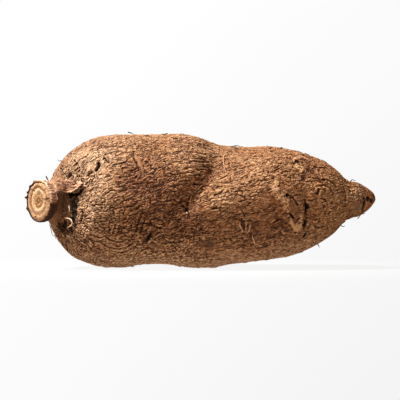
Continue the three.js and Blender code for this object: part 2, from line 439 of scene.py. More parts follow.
def near(line, reach_out):
    """Points of the skin near a line: which, how far off it, and at what share of its length."""
    low, high = line.min(0) - reach_out, line.max(0) + reach_out
    which = np.nonzero(((P > low) & (P < high)).all(1))[0]
    apart = np.linalg.norm(P[which, None, :] - line[None], axis=2)
    return which, apart.min(1), apart.argmin(1) / (len(line) - 1)


def groove(path, width, depth, lip=0.0, crease=0.8, taper=0.25, soil_and_shade=0.0):
    """A cut in the skin along a path, with raised edges of height `lip`, darkened inside with painted shade,
    and with soil and painted shade in it.
    """
    which, far, share = near(track(path), 4 * width + 2)
    fade = smooth(share, 0, taper) * smooth(share, 1, 1 - taper)
    inside = bell(far, width)
    height[which] += fade * (lip * bell(far - 1.7 * width, 0.7 * width) - depth * inside)
    add("crease", crease * fade * inside, which)
    add("soil_and_shade", soil_and_shade * fade * smooth(inside, 0.2, 0.8), which)


def hollow(which, inside, depth, name, amount):
    """Sinks the skin, or raises it where depth is negative, evens out its relief and colours it."""
    height[which] = height[which] * (1 - 0.7 * inside) - depth * inside
    add(name, amount * inside, which)


def spot(x, z, radius, depth, name, amount=1.0, ragged=0.35, seed=None):
    """A hollow or coloured patch round a point, with an uneven edge."""
    far = away(on_skin(x, z))
    which = np.nonzero(far < 3 * radius + 2)[0]
    uneven = grit(P[which] / (0.7 * radius) + (x if seed is None else seed)) * ragged * radius
    inside = 1 - smooth(far[which] + uneven, 0.5 * radius, 1.15 * radius)
    hollow(which, inside, depth, name, amount)


def patch(path, half_width, depth, name, amount=1.0, ragged=0.4):
    """A hollow or coloured patch along a path, widest at its middle, with uneven edges."""
    which, far, share = near(track(path), 2.5 * half_width + 1)
    wide = half_width * np.sqrt(np.maximum(smooth(share, -0.1, 0.45) * smooth(share, 1.1, 0.55), 1e-4))
    far = far + grit(P[which] / 0.9 + 60) * ragged * half_width
    hollow(which, 1 - smooth(far / wide, 0.7, 1.15), depth, name, amount)


# The waist: the furrow's foot, broken into pits, and a deep pit at its end, the pits blackened with soil and
# painted shade.
groove([(10, 76), (7.5, 68), (4.5, 59), (-2, 53), (-9.2, 44), (-9.4, 38)], 2.6, 1.0, 0.2, 0.25, 0.3)
for path, width, depth in (
    ([(0.5, 57), (-4, 52.8)], 0.8, 1.0),
    ([(-5, 51.5), (-8.2, 47.5)], 0.9, 1.3),
    ([(-8.4, 46.5), (-9.4, 43.2)], 1.0, 1.3),
    ([(-9, 42.8), (-10.4, 38.2)], 1.3, 1.6),
):
    groove(path, width, depth, 0.35, 1.0, 0.3)
for x, z, radius in (
    (-9.4, 40.2, 1.4), (-11.5, 43, 0.9), (-8.2, 37.6, 0.9), (7.1, 60.6, 1), (8.6, 61.8, 0.6),
):
    spot(x, z, radius, 1.1, "soil_and_shade")
spot(5, 17, 5.5, 0, "soil_and_shade", 0.5, seed=80)
spot(8, 20, 3.0, 0, "soil_and_shade", 0.3, seed=80)

# A slit with pale lips, and a dark cut on each side of it: the slit and cuts are darkened with painted shade.
patch([(27.4, 34.8), (28.2, 31), (29.4, 26.8)], 1.3, 0.9, "crease", 0.9, 0.2)
groove([(26.6, 41.6), (28.2, 38.4), (30.2, 35)], 0.55, 0.6, 0.3, 0.9)
groove([(31.6, 31), (31.2, 28)], 0.6, 0.6, 0.2, 0.8)
patch([(25.9, 33), (26.3, 29.6), (28.6, 25.8)], 0.45, -0.5, "pale", 0.65, 0.2)
patch([(30, 34.8), (30.5, 31), (30, 27.4)], 0.4, -0.4, "pale", 0.35, 0.2)
patch([(33, 31), (32.6, 27.6), (30.4, 23.8)], 0.5, -0.5, "pale", 0.6, 0.2)

# The taper's groove: a smooth ridge with dark cuts beside it, blackest where they are widest, with painted
# shade.
groove([(57.9, 50.7), (61.1, 49.5), (64.4, 45.1), (65.6, 42.2)], 0.7, 0.8, 0.3, 0.9, 0.2, 0.5)
groove([(65.6, 48.4), (68.3, 42), (69.3, 33.1)], 1.5, -0.8, 0, 0)
for path, width, depth in (
    ([(69.8, 50), (70.3, 46.6), (71.2, 42.6), (70.9, 38.2), (69.9, 34.2)], 1.0, 1.4),
    ([(71.0, 46), (72.2, 42.8), (72.0, 39.0)], 1.3, 1.5),
    ([(71.0, 35.6), (70.8, 31), (69.9, 26.2)], 1.3, 1.5),
    ([(71.6, 25.6), (71.0, 22.6), (68.6, 20.4)], 1.2, 1.2),
):
    groove(path, width, depth, 0.35, 1.0, 0.45, 0.9)

# Where the skin is gone: x, z, radius, depth, what shows, how much of it.
# The soil entries are dark pits, blackened with soil and painted shade.
BROKEN = [
    (48.2, 61.9, 1.0, 0.4, "soil_and_shade", 0.7), (50.8, 58.9, 2.1, -0.1, "bare", 1.0),
    (49.2, 57.0, 1.5, 0.1, "pale", 0.8), (49.8, 54.9, 3.3, -0.3, "pale", 1.0),
    (52.2, 50.3, 2.7, 0.3, "bare", 0.95), (53.4, 51.8, 0.8, 0.7, "soil_and_shade", 0.8),
    (51.2, 49.0, 0.7, 0.6, "soil_and_shade", 0.7), (56.0, 52.6, 2.4, 0.2, "pale", 0.85),
    (58.0, 50.7, 1.5, 1.4, "soil_and_shade", 0.95), (55.2, 47.9, 2.2, 0.2, "pale", 0.8),
    (56.2, 49.6, 0.7, 0.6, "soil_and_shade", 0.8), (58.6, 47.6, 1.6, 0.2, "pale", 0.85),
    (57.5, 44.7, 2.1, 0.2, "bare", 1.0), (56.4, 42.1, 1.8, 0.2, "bare", 0.9),
    (54.6, 45.0, 1.0, 0.1, "pale", 0.6), (52.0, 56.6, 0.7, 0.5, "soil_and_shade", 0.8),
    (54.4, 49.6, 0.7, 0.5, "soil_and_shade", 0.8), (60.2, 48.4, 0.8, 0.4, "soil_and_shade", 0.7),
    (58.4, 39.6, 1.1, 0.1, "bare", 0.7), (67.0, 69.2, 3.6, 0.1, "bare", 1.0),
    (66.0, 73.6, 2.3, 0.7, "soil_and_shade", 0.9), (69.4, 73.2, 1.6, 0.5, "soil_and_shade", 0.75),
    (73.4, 72.2, 2.4, 0.4, "umber", 0.8), (75.0, 67.2, 3.8, 0.5, "soil_and_shade", 0.4),
    (70.6, 65.6, 2.0, 0.6, "soil_and_shade", 0.65), (69.9, 62.4, 2.4, 0.6, "soil_and_shade", 0.6),
    (69.7, 61.6, 1.1, 0.6, "soil_and_shade", 1.0), (86.7, 63.2, 1.7, 0.3, "bare", 0.8),
    (74.2, 19.4, 1.7, 0.3, "bare", 0.9), (26.5, 74.4, 3.2, 0.0, "pale", 0.18),
    (34.6, 74.4, 3.2, 0.0, "pale", 0.22), (45.6, 74.6, 1.4, 0.4, "soil_and_shade", 0.45),
    (89.5, 45.4, 1.5, 0.5, "soil_and_shade", 0.55), (99.7, 46.7, 1.2, 0.5, "soil_and_shade", 0.7),
    (84.0, 43.0, 1.2, 0.5, "soil_and_shade", 0.6), (80.4, 32.4, 1.3, 0.5, "soil_and_shade", 0.6),
    (78.6, 34.0, 1.1, 0.5, "soil_and_shade", 0.6), (108.4, 45.4, 6.5, 0.2, "umber", 0.4),
    (104.6, 49.4, 3.2, 0.2, "umber", 0.35), (116.2, 48.2, 2.4, 1.0, "soil_and_shade", 0.9),
    (118.8, 46.8, 1.9, 0.8, "soil_and_shade", 0.9), (117.2, 47.0, 0.9, 0.2, "bare", 0.7),
]
for x, z, radius, depth, name, amount in BROKEN:
    spot(x, z, radius, depth, name, amount, 0.2, 3 * x + z)
patch([(63.0, 74.6), (69.5, 77.0), (75, 74.4)], 1.9, -0.3, "pale", 0.45)
groove([(75.9, 69.3), (81.7, 69.6), (87.6, 69.4)], 0.7, 0.7, 0.3, 0.9)
groove([(81, 55.6), (79.6, 53.2), (78.3, 50)], 0.9, 1.0, 0.3, 1.0, soil_and_shade=0.5)
groove([(101.4, 56), (102.4, 54.4), (103.8, 52.4)], 0.8, 0.8, 0.3, 1.0, soil_and_shade=0.6)
# Curved wrinkles about the swelling before the tip.
for path in (
    [(80, 60.6), (86, 60.8), (91.6, 57.6), (94.2, 52)],
    [(77.4, 56.4), (84.4, 57.2), (89.2, 53.8), (90.8, 48.6)],
    [(80.6, 49.4), (85, 46.8), (86.6, 42.2)],
    [(92.4, 47.4), (90.2, 41.2), (85, 36.6)],
    [(97.4, 57.8), (99.4, 52.2), (99.2, 46)],
    [(75.4, 31.4), (80.4, 28.4), (86.4, 29.6)],
    [(96, 44.6), (94.6, 38.4), (90.2, 33.6)],
):
    groove(path, 0.8, 0.6, 0.4, 0.7)
groove([(112.8, 50.4), (113.4, 45), (112.2, 38.6)], 1.1, 1.1, 0.3, 1.0, 0.2, 0.5)
# Bared flesh at the groove's foot, in the shape of a small leaf, with a gap above it, blackened with painted
# shade.
patch([(59.9, 35.4), (61.6, 31), (64.4, 26)], 1.2, 0.2, "bare", 0.75)
patch([(67.2, 37.4), (67.4, 31), (65.6, 25.6)], 1.5, 0.2, "bare", 0.8)
patch([(64.8, 31.4), (65.4, 26)], 1.5, 0.1, "bare", 0.7)
patch([(60.2, 46.6), (63.2, 41), (64.8, 36.6)], 2.7, 0.3, "umber", 0.35)
patch([(59.4, 38.6), (61, 36.9), (63, 34.6)], 1.1, 0.9, "soil_and_shade", 0.85)

# Notches and thin dark cuts on the bulb, blackened or darkened with painted shade.
patch([(-33.8, 24.2), (-35.4, 21.6), (-37.6, 18.6)], 1.3, 1.3, "soil_and_shade", 1.0, 0.8)
patch([(-34.4, 23.4), (-36.4, 21), (-38.8, 17.2)], 2.0, 0.5, "crease", 0.8, 0.8)
groove([(-32.6, 26), (-34.6, 23)], 0.6, 0.8, 0.3, 1.0)
groove([(-36.6, 36.6), (-38.6, 31), (-40.6, 26), (-42.4, 23.6)], 0.6, 0.7, 0.35, 0.8)
groove([(-73.6, 9.6), (-68.8, 8.8), (-64.4, 9.4)], 0.9, 0.9, 0.3, 1.0)
# Wrinkles that turn with the bulb's end, below.
for path in (
    [(-61.5, 12.6), (-53.9, 11.7), (-46.3, 14.3), (-40.3, 18.9)],
    [(-70.6, 21.9), (-64.6, 16.6), (-57, 14.3), (-49.4, 15.8), (-43.3, 20.4)],
    [(-38.8, 40.1), (-41.8, 32.5), (-43.3, 26.4), (-46.3, 21.9)],
    [(-78.2, 28), (-75.2, 21.1), (-69.9, 16.6)],
    [(-66.4, 24.6), (-61, 20.4), (-54.2, 19.2), (-49, 21.6)],
    [(-80.4, 22.4), (-76.6, 16.6), (-72.4, 13.2)],
    [(-30.4, 13.6), (-22, 12.2), (-13.6, 13.4)],
    [(-26.4, 20.6), (-19, 18.6), (-12, 19.8)],
):
    groove(path, 0.8, 0.7, 0.5, 0.85)
groove([(-60.4, 23.4), (-58.8, 27.6), (-56.2, 32.2)], 0.9, 0.7, 0.4, 0.9)
groove([(-71.6, 71.6), (-73.4, 66.4), (-76.2, 63)], 1.0, 1.2, 0.5, 1.0)
groove([(-78.4, 73.6), (-80.6, 70.6)], 0.8, 0.9, 0.4, 1.0)
groove([(-46.6, 77.6), (-43.6, 72.4), (-41.0, 66.4)], 0.7, 0.7, 0.3, 0.9)

# Round the neck: dark and smooth behind the bark, then pitted where the body begins, the pits blackened with
# soil and painted shade.
from_neck = smooth(BEHIND, 22, 13) * smooth(OFF_AXIS, 20, 16.5)
facing = FROM_AXIS[:, 2] / 13
add("umber", from_neck * smooth(facing, 0.75, 0.35) * (0.6 + 0.4 * smooth(facing, -0.85, -0.35)))
# Deep commas above the neck, blackened with soil and painted shade.
for path, width, depth in (
    ([(-70.1, 73.8), (-68.4, 71.5), (-69.5, 68.8), (-71.2, 65.8)], 1.0, 1.5),
    ([(-74.2, 65.8), (-76.5, 62.8)], 0.8, 1.1),
    ([(-66.4, 74.2), (-64.8, 75.6), (-62.6, 72.9), (-61.0, 75)], 0.6, 0.8),
    ([(-60.4, 71.0), (-54.5, 71.8), (-48.6, 73.6)], 0.5, 0.7),
    ([(-87.4, 75.2), (-85.2, 73)], 0.6, 0.8),
    ([(-81.8, 69.2), (-86.4, 66.6)], 0.7, 0.9),
    ([(-96.8, 70), (-95, 66.8)], 0.7, 0.9),
    ([(-92, 62), (-89.8, 63.6), (-87.4, 65.6)], 1.3, 2.0),
):
    groove(path, width, 1.3 * depth, 0.35, 1.0, 0.2, 0.9)
for x, z, radius in (
    (-84.8, 71.7, 1.4), (-90.4, 67.8, 1), (-80.4, 60.4, 0.9), (-83.4, 63.2, 0.8), (-77, 72.6, 0.8),
):
    spot(x, z, radius, 1.2, "soil_and_shade", 0.9)
# Near the neck the cracks are painted black as shade, and the shoulder below it is drawn in a little.
add("soil_and_shade", 0.55 * smooth(X, -64, -84) * smooth(Z, 48, 56) * on_body * long_cracks)
height -= 1.3 * bell(away([-102, -12, 27]), 9)
# Plates of bare pinkish skin between the commas.
for x, z, radius, amount in (
    (-73.4, 69.3, 3.4, 0.5), (-64.3, 66.4, 3.2, 0.35), (-79, 80.6, 5, 0.3), (-86, 62.6, 2.4, 0.3),
):
    spot(x, z, radius, -0.2, "pale", amount)
# Hollows blackened with soil and painted shade: x, z, radius, depth, how dark.
for x, z, radius, depth, dark in (
    (-85.8, 38.0, 3.0, 2.0, 1.0), (-85.8, 42.8, 3.0, 2.2, 1.0), (-84.2, 46.8, 2.4, 0.9, 0.75),
    (-88.6, 50.4, 2.4, 0.8, 1.0), (-84.8, 50.6, 2.4, 1.0, 1.0), (-81.6, 53.4, 1.5, 1.0, 1.0),
    (-87.6, 46.4, 2.2, 0.6, 0.7), (-87.6, 33.6, 2.8, 1.4, 0.95), (-96.4, 29.4, 3.4, 0.8, 0.95),
    (-92.0, 29.4, 3.8, 1.4, 1.0), (-93.2, 24.6, 3.4, 0.8, 0.85), (-88.4, 26.2, 3.2, 1.0, 0.9),
    (-85.6, 30.6, 2.4, 1.0, 1.0),
):
    spot(x, z, radius, depth, "soil_and_shade", dark, 0.55)
patch([(-99.4, 28.4), (-94.6, 26.8), (-89.4, 28.4)], 3.4, 0.8, "soil_and_shade", 0.8)
for x, z, radius in (
    (-99, 28.6, 1.2), (-96.2, 26.4, 1.1), (-94.6, 29.2, 1.2),
    (-97.6, 31, 1.0), (-92, 26.2, 1.0), (-90.2, 23, 0.9),
):
    spot(x, z, radius, 1.3, "soil_and_shade")
patch([(-83.4, 52), (-86, 48), (-87, 42), (-86, 36), (-88, 31)], 2.4, 0.9, "soil_and_shade", 0.92, 0.5)
# The flap's shadow: a deep gap under its lip, painted black as shadow.
lip = [(-92.6, 51.2), (-90, 51), (-86.4, 50.8), (-82.8, 51.8), (-80.2, 54.2), (-78.8, 56.2)]
groove(lip, 1.1, 1.2, 0, 1.0, 0.12)
patch([(-90, 50.6), (-86.4, 50.6), (-82.4, 51.6), (-79.6, 54.6)], 1.3, 0.6, "soil_and_shade", 0.95, 0.3)
groove([(-80.8, 42), (-79.8, 38), (-80.6, 34.4), (-82.2, 31.6)], 1.0, 1.5, 0.6, 1.0, soil_and_shade=0.7)
groove([(-84.4, 36), (-83.6, 33), (-84.2, 30)], 0.7, 0.9, 0.5, 1.0)

# The tip is slimmer below and a little above, where it leaves the taper.
height -= (smooth(X, 96, 108) + 1.7 * bell(X - 100.5, 6)) * smooth(-N[:, 2], 0, 0.6)
height -= bell(X - 101, 4.5) * smooth(N[:, 2], 0.2, 0.7)

P_out = P + N * height[:, None]
P_out[:, 2] = np.maximum(P_out[:, 2], 0)

# ---- Meshes ----


def piece(name, vertices, faces, material, **attributes):
    """A smooth-shaded mesh that rides on the root and stands for the solid."""
    mesh = bpy.data.meshes.new(name)
    mesh.from_pydata((np.asarray(vertices) * MM).tolist(), [], [tuple(map(int, f)) for f in faces])
    for key, values in attributes.items():
        values = np.asarray(values, np.float32)
        kind, field = ("FLOAT", "value") if values.ndim == 1 else ("FLOAT_VECTOR", "vector")
        mesh.attributes.new(key, kind, "POINT").data.foreach_set(field, values.ravel())
    mesh.shade_smooth()
    mesh.materials.append(material)
    mesh.validate()
    obj = bpy.data.objects.new(name, mesh)
    bpy.context.scene.collection.objects.link(obj)
    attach(obj, "root")
    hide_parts(NODE)
    return obj


# ---- Materials ----


def linear(colour):
    """A colour given as three numbers from 0 to 255 sRGB, in the linear values that nodes use."""
    v = np.array(colour) / 255
    return (*np.where(v <= 0.04045, v / 12.92, ((v + 0.055) / 1.055) ** 2.4), 1.0)


class Nodes:
    """The node tree of a new material or world, built a call at a time."""

    def __init__(self, owner):
        owner.use_nodes = True
        self.owner = owner
        self.tree = owner.node_tree
        self.tree.nodes.clear()

    def node(self, kind, inputs=(), **settings):
        made = self.tree.nodes.new("ShaderNode" + kind)
        for key, value in settings.items():
            setattr(made, key, value)
        for key, value in dict(inputs).items():
            self.join(value, made.inputs[key])
        return made

    def join(self, value, socket):
        if isinstance(value, bpy.types.Node):
            value = value.outputs[0]
        if isinstance(value, bpy.types.NodeSocket):
            self.tree.links.new(value, socket)
        else:
            socket.default_value = value

    def attribute(self, name, output="Fac"):
        return self.node("Attribute", attribute_name=name).outputs[output]

    def math(self, operation, a, b=0.0, c=0.0, clamp=False):
        return self.node("Math", {0: a, 1: b, 2: c}, operation=operation, use_clamp=clamp).outputs[0]

    def times(self, a, b):
        return self.math("MULTIPLY", a, b)

    def weighed(self, value, weight, base):
        """base with a share of a value added."""
        return self.math("MULTIPLY_ADD", value, weight, base)

    def swayed(self, noise, weight, base):
        """base, raised or lowered by how far a noise is from its middle."""
        return self.weighed(self.math("SUBTRACT", noise, 0.5), weight, base)

    def vector(self, operation, a, b=(0.0, 0.0, 0.0), output=0):
        return self.node("VectorMath", {0: a, 1: b}, operation=operation).outputs[output]

    def stretched(self, where, scale, detail, rough):
        """Noise with a scale of its own along each axis."""
        return self.noise(self.vector("MULTIPLY", where, scale), 1.0, detail, rough)

    def noise(self, where, scale, detail, rough):
        inputs = {"Vector": where, "Scale": scale, "Detail": detail, "Roughness": rough}
        return self.node("TexNoise", inputs).outputs[0]

    def ramp(self, value, *stops):
        """Colours along a value: each stop is where it is, and its sRGB red, green and blue."""
        made = self.node("ValToRGB", {"Fac": value})
        while len(made.color_ramp.elements) < len(stops):
            made.color_ramp.elements.new(0.5)
        for element, (at, *colour) in zip(made.color_ramp.elements, stops):
            element.position = at
            element.color = linear(colour)
        return made.outputs[0]

    def mix(self, share, a, b, blend="MIX"):
        """a and b mixed. A colour of three numbers is sRGB, and one of four is linear."""
        a, b = (linear(v) if isinstance(v, tuple) and len(v) == 3 else v for v in (a, b))
        inputs = {0: share, 6: a, 7: b}
        return self.node("Mix", inputs, data_type="RGBA", blend_type=blend, clamp_factor=True).outputs[2]

    def tinted(self, share, colour, tint):
        """A colour, multiplied by a tint by a share."""
        return self.mix(share, colour, self.mix(1.0, colour, (*tint, 1), "MULTIPLY"))

    def range(self, value, low, high, to_low=0.0, to_high=1.0):
        inputs = {0: value, 1: low, 2: high, 3: to_low, 4: to_high}
        return self.node("MapRange", inputs, interpolation_type="SMOOTHSTEP").outputs[0]

    def finish(self, colour, roughness, bump, depth, specular=0.25):
        lift = self.node("Bump", {"Height": bump, "Distance": depth, "Strength": 1.0})
        inputs = {"Base Color": colour, "Roughness": roughness, "Normal": lift}
        inputs["Specular IOR Level"] = specular
        self.node("OutputMaterial", {"Surface": self.node("BsdfPrincipled", inputs)})
        return self.owner


def skin_material():
    """Brown cork: lighter where it stands high, in painted highlight and wear, streaked and cracked along
    the root with painted shade in the cracks and valleys and painted highlights beside them, and worn,
    soiled or shaded where the masks say."""
    m = Nodes(bpy.data.materials.new("root_skin"))
    flow = m.attribute("flow", "Vector")
    crease, bare, soil_and_shade, pale, umber, warm, high, tone = (
        m.attribute(name) for name in ("crease", "bare", "soil_and_shade", "pale", "umber", "warm", "high", "tone")
    )
    off_crack, open_crack = m.attribute("off_long"), m.attribute("open_long")
    long_crack = m.times(m.range(m.math("ABSOLUTE", off_crack), 0.02, 0.17, 1.0, 0.0), open_crack)
    short_crack = m.range(m.math("ABSOLUTE", m.attribute("off_short")), 0.02, 0.24, 1.0, 0.0)
    short_crack = m.times(short_crack, m.attribute("open_short"))
    crack = m.math("MAXIMUM", long_crack, m.times(short_crack, 0.92))
    crack_highlight = m.times(m.range(off_crack, 0.16, 0.26), m.range(off_crack, 0.5, 0.34))
    crack_highlight = m.times(crack_highlight, open_crack)
    wander = m.node("TexNoise", {"Vector": flow, "Scale": 0.22, "Detail": 1.0}).outputs["Color"]
    bent = m.vector("ADD", flow, m.vector("MULTIPLY", wander, (4.0, 4.0, 4.0)))
    aside = m.math("SUBTRACT", m.stretched(bent, (0.24, 0.7, 0.7), 2.0, 0.6), 0.5)
    strands = m.math("ABSOLUTE", aside)
    torn = m.range(m.noise(flow, 0.4, 2.0, 0.5), 0.44, 0.56)
    valley_shade = m.times(m.range(strands, 0.015, 0.06, 1.0, 0.0), torn)
    lip = m.times(m.times(m.range(aside, 0.1, 0.14), m.range(aside, 0.23, 0.17)), torn)
    fibres = m.stretched(bent, (0.9, 2.1, 2.1), 3.0, 0.65)
    streaky = m.range(fibres, 0.35, 0.65)
    mottle = m.stretched(flow, (0.24, 0.4, 0.4), 4.0, 0.6)
    speckle = m.noise(flow, 2.0, 2.0, 0.5)
    # Lighter where the skin stands high: painted highlight, with wear.
    level = m.weighed(fibres, 0.4, m.times(high, 0.42))
    level = m.weighed(mottle, 0.22, m.weighed(tone, 0.13, level))
    level = m.swayed(m.noise(flow, 1.6, 1.0, 0.5), 0.05, m.math("ADD", level, 0.19))
    body = m.ramp(level, (0.26, 90, 49, 27), (0.48, 138, 88, 54), (0.66, 180, 126, 82), (0.92, 232, 188, 144))
    body = m.mix(m.times(m.range(speckle, 0.62, 0.75), 0.4), body, (180, 128, 86))
    body = m.tinted(warm, body, (1.1, 0.87, 0.67))
    body = m.tinted(m.times(warm, -1.0), body, (1.0, 1.02, 1.2))
    # A painted highlight on one side of each fibre valley, and painted shade in the valley.
    body = m.mix(m.times(lip, 0.2), body, (230, 188, 148))
    body = m.mix(m.times(valley_shade, 0.6), body, (78, 38, 18))
    body = m.mix(m.times(umber, 0.85), body, m.mix(fibres, (60, 33, 17), (122, 78, 46)))
    # A painted highlight beside each long crack, and painted shade in the cracks and creases.
    body = m.mix(m.times(crack_highlight, 0.4), body, (226, 180, 138))
    body = m.mix(m.times(m.math("MAXIMUM", crease, crack), 0.97), body, (68, 32, 15))
    body = m.mix(pale, body, m.mix(streaky, (212, 144, 104), (255, 210, 166)))
    body = m.mix(bare, body, m.mix(streaky, (208, 140, 88), (255, 214, 156)))
    # Soil, and painted shade, blacken pits, gaps and cavities.
    body = m.mix(soil_and_shade, body, (30, 16, 9))
    bump = m.weighed(fibres, 0.45, m.math("MINIMUM", m.times(strands, 4.5), 0.6))
    bump = m.weighed(crack, -0.7, bump)
    return m.finish(body, m.range(fibres, 0.3, 0.7, 0.68, 0.9), bump, 0.0006)


def wood_material():
    """The neck's cut wood: pale flesh, browner in two rings and about the pith."""
    m = Nodes(bpy.data.materials.new("cut_wood"))
    place = m.attribute("place", "Vector")
    grain = m.noise(place, 2.6, 3.0, 0.6)
    blots = m.noise(place, 0.55, 3.0, 0.6)
    streaks = m.stretched(place, (0.9, 3.4, 1.0), 2.0, 0.6)
    wood = m.ramp(
        m.swayed(blots, 0.10, m.attribute("ring")),
        (0.00, 200, 149, 105), (0.07, 175, 123, 82), (0.13, 140, 86, 50), (0.20, 182, 131, 89),
        (0.28, 173, 121, 80), (0.335, 147, 95, 59), (0.39, 209, 164, 123), (0.56, 218, 176, 137),
        (0.63, 182, 130, 94), (0.69, 140, 88, 61), (0.75, 191, 140, 100), (0.88, 205, 157, 117),
        (0.95, 182, 130, 91), (0.985, 99, 57, 36),
    )
    wood = m.mix(m.times(m.range(streaks, 0.56, 0.68), 0.55), wood, (140, 88, 54))
    wood = m.mix(m.times(m.range(grain, 0.55, 0.75), 0.45), wood, (240, 206, 168))
    # Stains, and painted shade in the face's cracks.
    wood = m.mix(m.times(m.attribute("stain"), 0.8), wood, m.mix(streaks, (96, 52, 34), (150, 96, 64)))
    wood = m.mix(1.0, wood, (0.96, 1.05, 1.06, 1), "MULTIPLY")
    bump = m.weighed(m.attribute("fibre"), 0.25, m.math("ADD", grain, streaks))
    return m.finish(wood, 0.82, bump, 0.0004, 0.2)


def bark_material():
    """The neck's bark: streaked, as dark or pale as its shade says, with painted black shade in its creases.
    """
    m = Nodes(bpy.data.materials.new("neck_bark"))
    flow = m.attribute("flow", "Vector")
    fibres = m.stretched(flow, (0.5, 1.8, 1.8), 3.0, 0.6)
    grain = m.noise(flow, 2.2, 2.0, 0.6)
    colour = m.ramp(
        m.swayed(grain, 0.3, m.swayed(fibres, 0.7, m.attribute("shade"))),
        (0.00, 24, 14, 9), (0.25, 78, 48, 30), (0.50, 142, 98, 70), (0.75, 196, 150, 118),
        (1.00, 240, 208, 182),
    )
    colour = m.mix(m.attribute("crease"), colour, (40, 22, 14))
    return m.finish(colour, 0.82, m.weighed(fibres, 0.6, grain), 0.0004)


def scrap_material():
    """Rootlets, flakes and torn skin, each as dark or pale as its shade says."""
    m = Nodes(bpy.data.materials.new("scraps"))
    grain = m.noise(m.node("NewGeometry").outputs["Position"], 900.0, 3.0, 0.6)
    colour = m.ramp(
        m.swayed(grain, 0.35, m.attribute("shade")),
        (0.00, 30, 18, 10), (0.25, 84, 50, 28), (0.50, 158, 108, 72), (0.75, 212, 164, 122),
        (1.00, 244, 214, 184),
    )
    return m.finish(colour, 0.8, grain, 0.0002)


SKIN = skin_material()
SCRAPS = scrap_material()
BARK = bark_material()

# Where the skin lies below its surroundings it is darker, in painted shade with some dirt; where it
# stands above them it is lighter, in painted highlight with some wear.
relief = height.reshape(ROWS, COLUMNS)
narrow = height - blur(blur(relief, 8, 0), 12, 1, around=True).ravel()
broad = height - blur(blur(relief, 40, 0), 60, 1, around=True).ravel()
add("crease", smooth(-0.8 * narrow - 0.4 * broad, 0.1, 0.5))
high = np.clip(0.42 + 0.9 * narrow + 0.45 * broad, 0, 1)

# Where the skin is paler (+) or darker (-) over a wide area: x, z, reach and amount. Partly the
# skin's own tone, partly painted light and shade: darker on flanks turned from the light, such as the
# furrow's, and lighter on those turned to it.
TONES = [
    (-82, 68, 20, 1.3), (-86, 46, 14, 1.0), (-70, 51, 12, 1.0), (-72, 37, 9, 0.6), (-24, 50, 22, -0.6),
    (-34, 57, 12, -0.9), (-6, 41, 6, -1.0), (-54, 9, 14, 0.6), (35, 26, 12, -0.5), (97, 41, 8, 0.9),
    (92, 46, 18, 0.5), (-82, 37, 5, -1.2), (-14, 42, 9, -0.7), (-4, 54, 6, -0.4), (26, 58, 14, 0.4),
    (-88, 36, 6, -0.8), (44, 63, 8, 0.7), (54, 71, 7, 0.4), (34, 74, 9, 0.3), (-30, 60, 28, -0.45),
    (50, 50, 34, -0.4), (18, 66, 9, -0.5), (-52, 62, 8, -0.5), (78, 40, 10, -0.6), (44, 76, 12, 0.4),
    (56, 12, 14, 0.4), (80, 22, 12, 0.5), (-58, 74, 10, 0.5), (-62, 60, 8, 0.4), (74, 66, 7, -0.8),
    (113, 46, 7, -0.3), (84, 30, 10, -0.3), (56, 30, 7, -0.5), (16, 42, 7, 0.3), (0, 60, 5, -0.6),
    (-48, 66, 8, -0.8), (-16, 26, 9, 0.5), (-50, 32, 9, 0.5), (2, 16, 9, -0.8), (34, 20, 8, -0.7),
    (-68, 14, 8, -0.6), (-18, 38, 12, -0.8), (-44, 48, 16, -0.6), (-66, 76, 12, 0.7), (-43, 75, 11, -0.7),
    (-8, 66, 8, 0.6), (7, 67, 5, -1.2), (-12, 76, 11, 0.8), (14, 48, 8, 0.7), (28, 62, 20, 0.6),
    (60, 66, 14, 0.4), (88, 48, 20, 1.4), (102, 48, 14, 1.0),
]
tone = 0.5 * blotch(FLOW / [24, 14, 14]) + 0.35 * blotch(FLOW / [9, 6, 6] + 50)
for x, z, wide, amount in TONES:
    tone += amount * bell(away(on_skin(x, z)), wide)
# Painted shade darkens the belly along its flank, and painted light lightens its foot.
tone -= bell(Z - 28, 10) * smooth(X, 80, 40) * smooth(X, -76, -50)
tone += 0.5 * smooth(Z, 14, 4)
# The lobe, the taper and the bulb's middle are redder, the neck's end and the narrow tip greyer.
add("warm", 0.6 * smooth(X, -16, 50) * smooth(Z, 22, 46))
add("warm", 0.2 * smooth(Z, 42, 60) * smooth(X, -60, -30))
bulb_middle = smooth(Z, 22, 36) * smooth(Z, 70, 60) * smooth(X, -58, -44) * smooth(X, 12, 2)
mask["warm"] += 0.4 * smooth(X, 64, 84) * smooth(Z, 18, 34) + 0.25 * smooth(X, 66, 84) * smooth(Z, 40, 30)
mask["warm"] += 0.27 * bulb_middle - 0.9 * smooth(X, 101, 109) * smooth(X, 115, 111)
mask["warm"] -= 0.4 * smooth(X, -56, -72)


def add_skin():
    """The skin in stretches along the root, with the whole skin's normals so that no join shows."""
    normals_out = outward(P_out.reshape(ROWS, COLUMNS, 3)).reshape(-1, 3)
    whole = (1 - mask["bare"]) * (1 - smooth(mask["pale"], 0.3, 0.7))
    opening = cracked * (1 - 0.14 * on_lobe) * whole
    fields = {"flow": FLOW, "high": high, "tone": tone, "off_long": off_long, "off_short": off_short, **mask}
    fields |= {"open_long": open_long * opening, "open_short": open_short * opening}
    edges = np.linspace(0, ROWS - 1, SKIN_STRETCHES + 1).astype(int)
    for k, (start, end) in enumerate(zip(edges[:-1], edges[1:])):
        part = slice(start * COLUMNS, (end + 1) * COLUMNS)
        faces = grid_faces(end - start + 1, COLUMNS)
        values = {name: field[part] for name, field in fields.items()}
        stretch = piece(f"skin_{k + 1}", P_out[part], faces, SKIN, **values)
        stretch.data.normals_split_custom_set_from_vertices(normals_out[part].tolist())


add_skin()

# ---- Loose parts of the root: how they are shaped ----


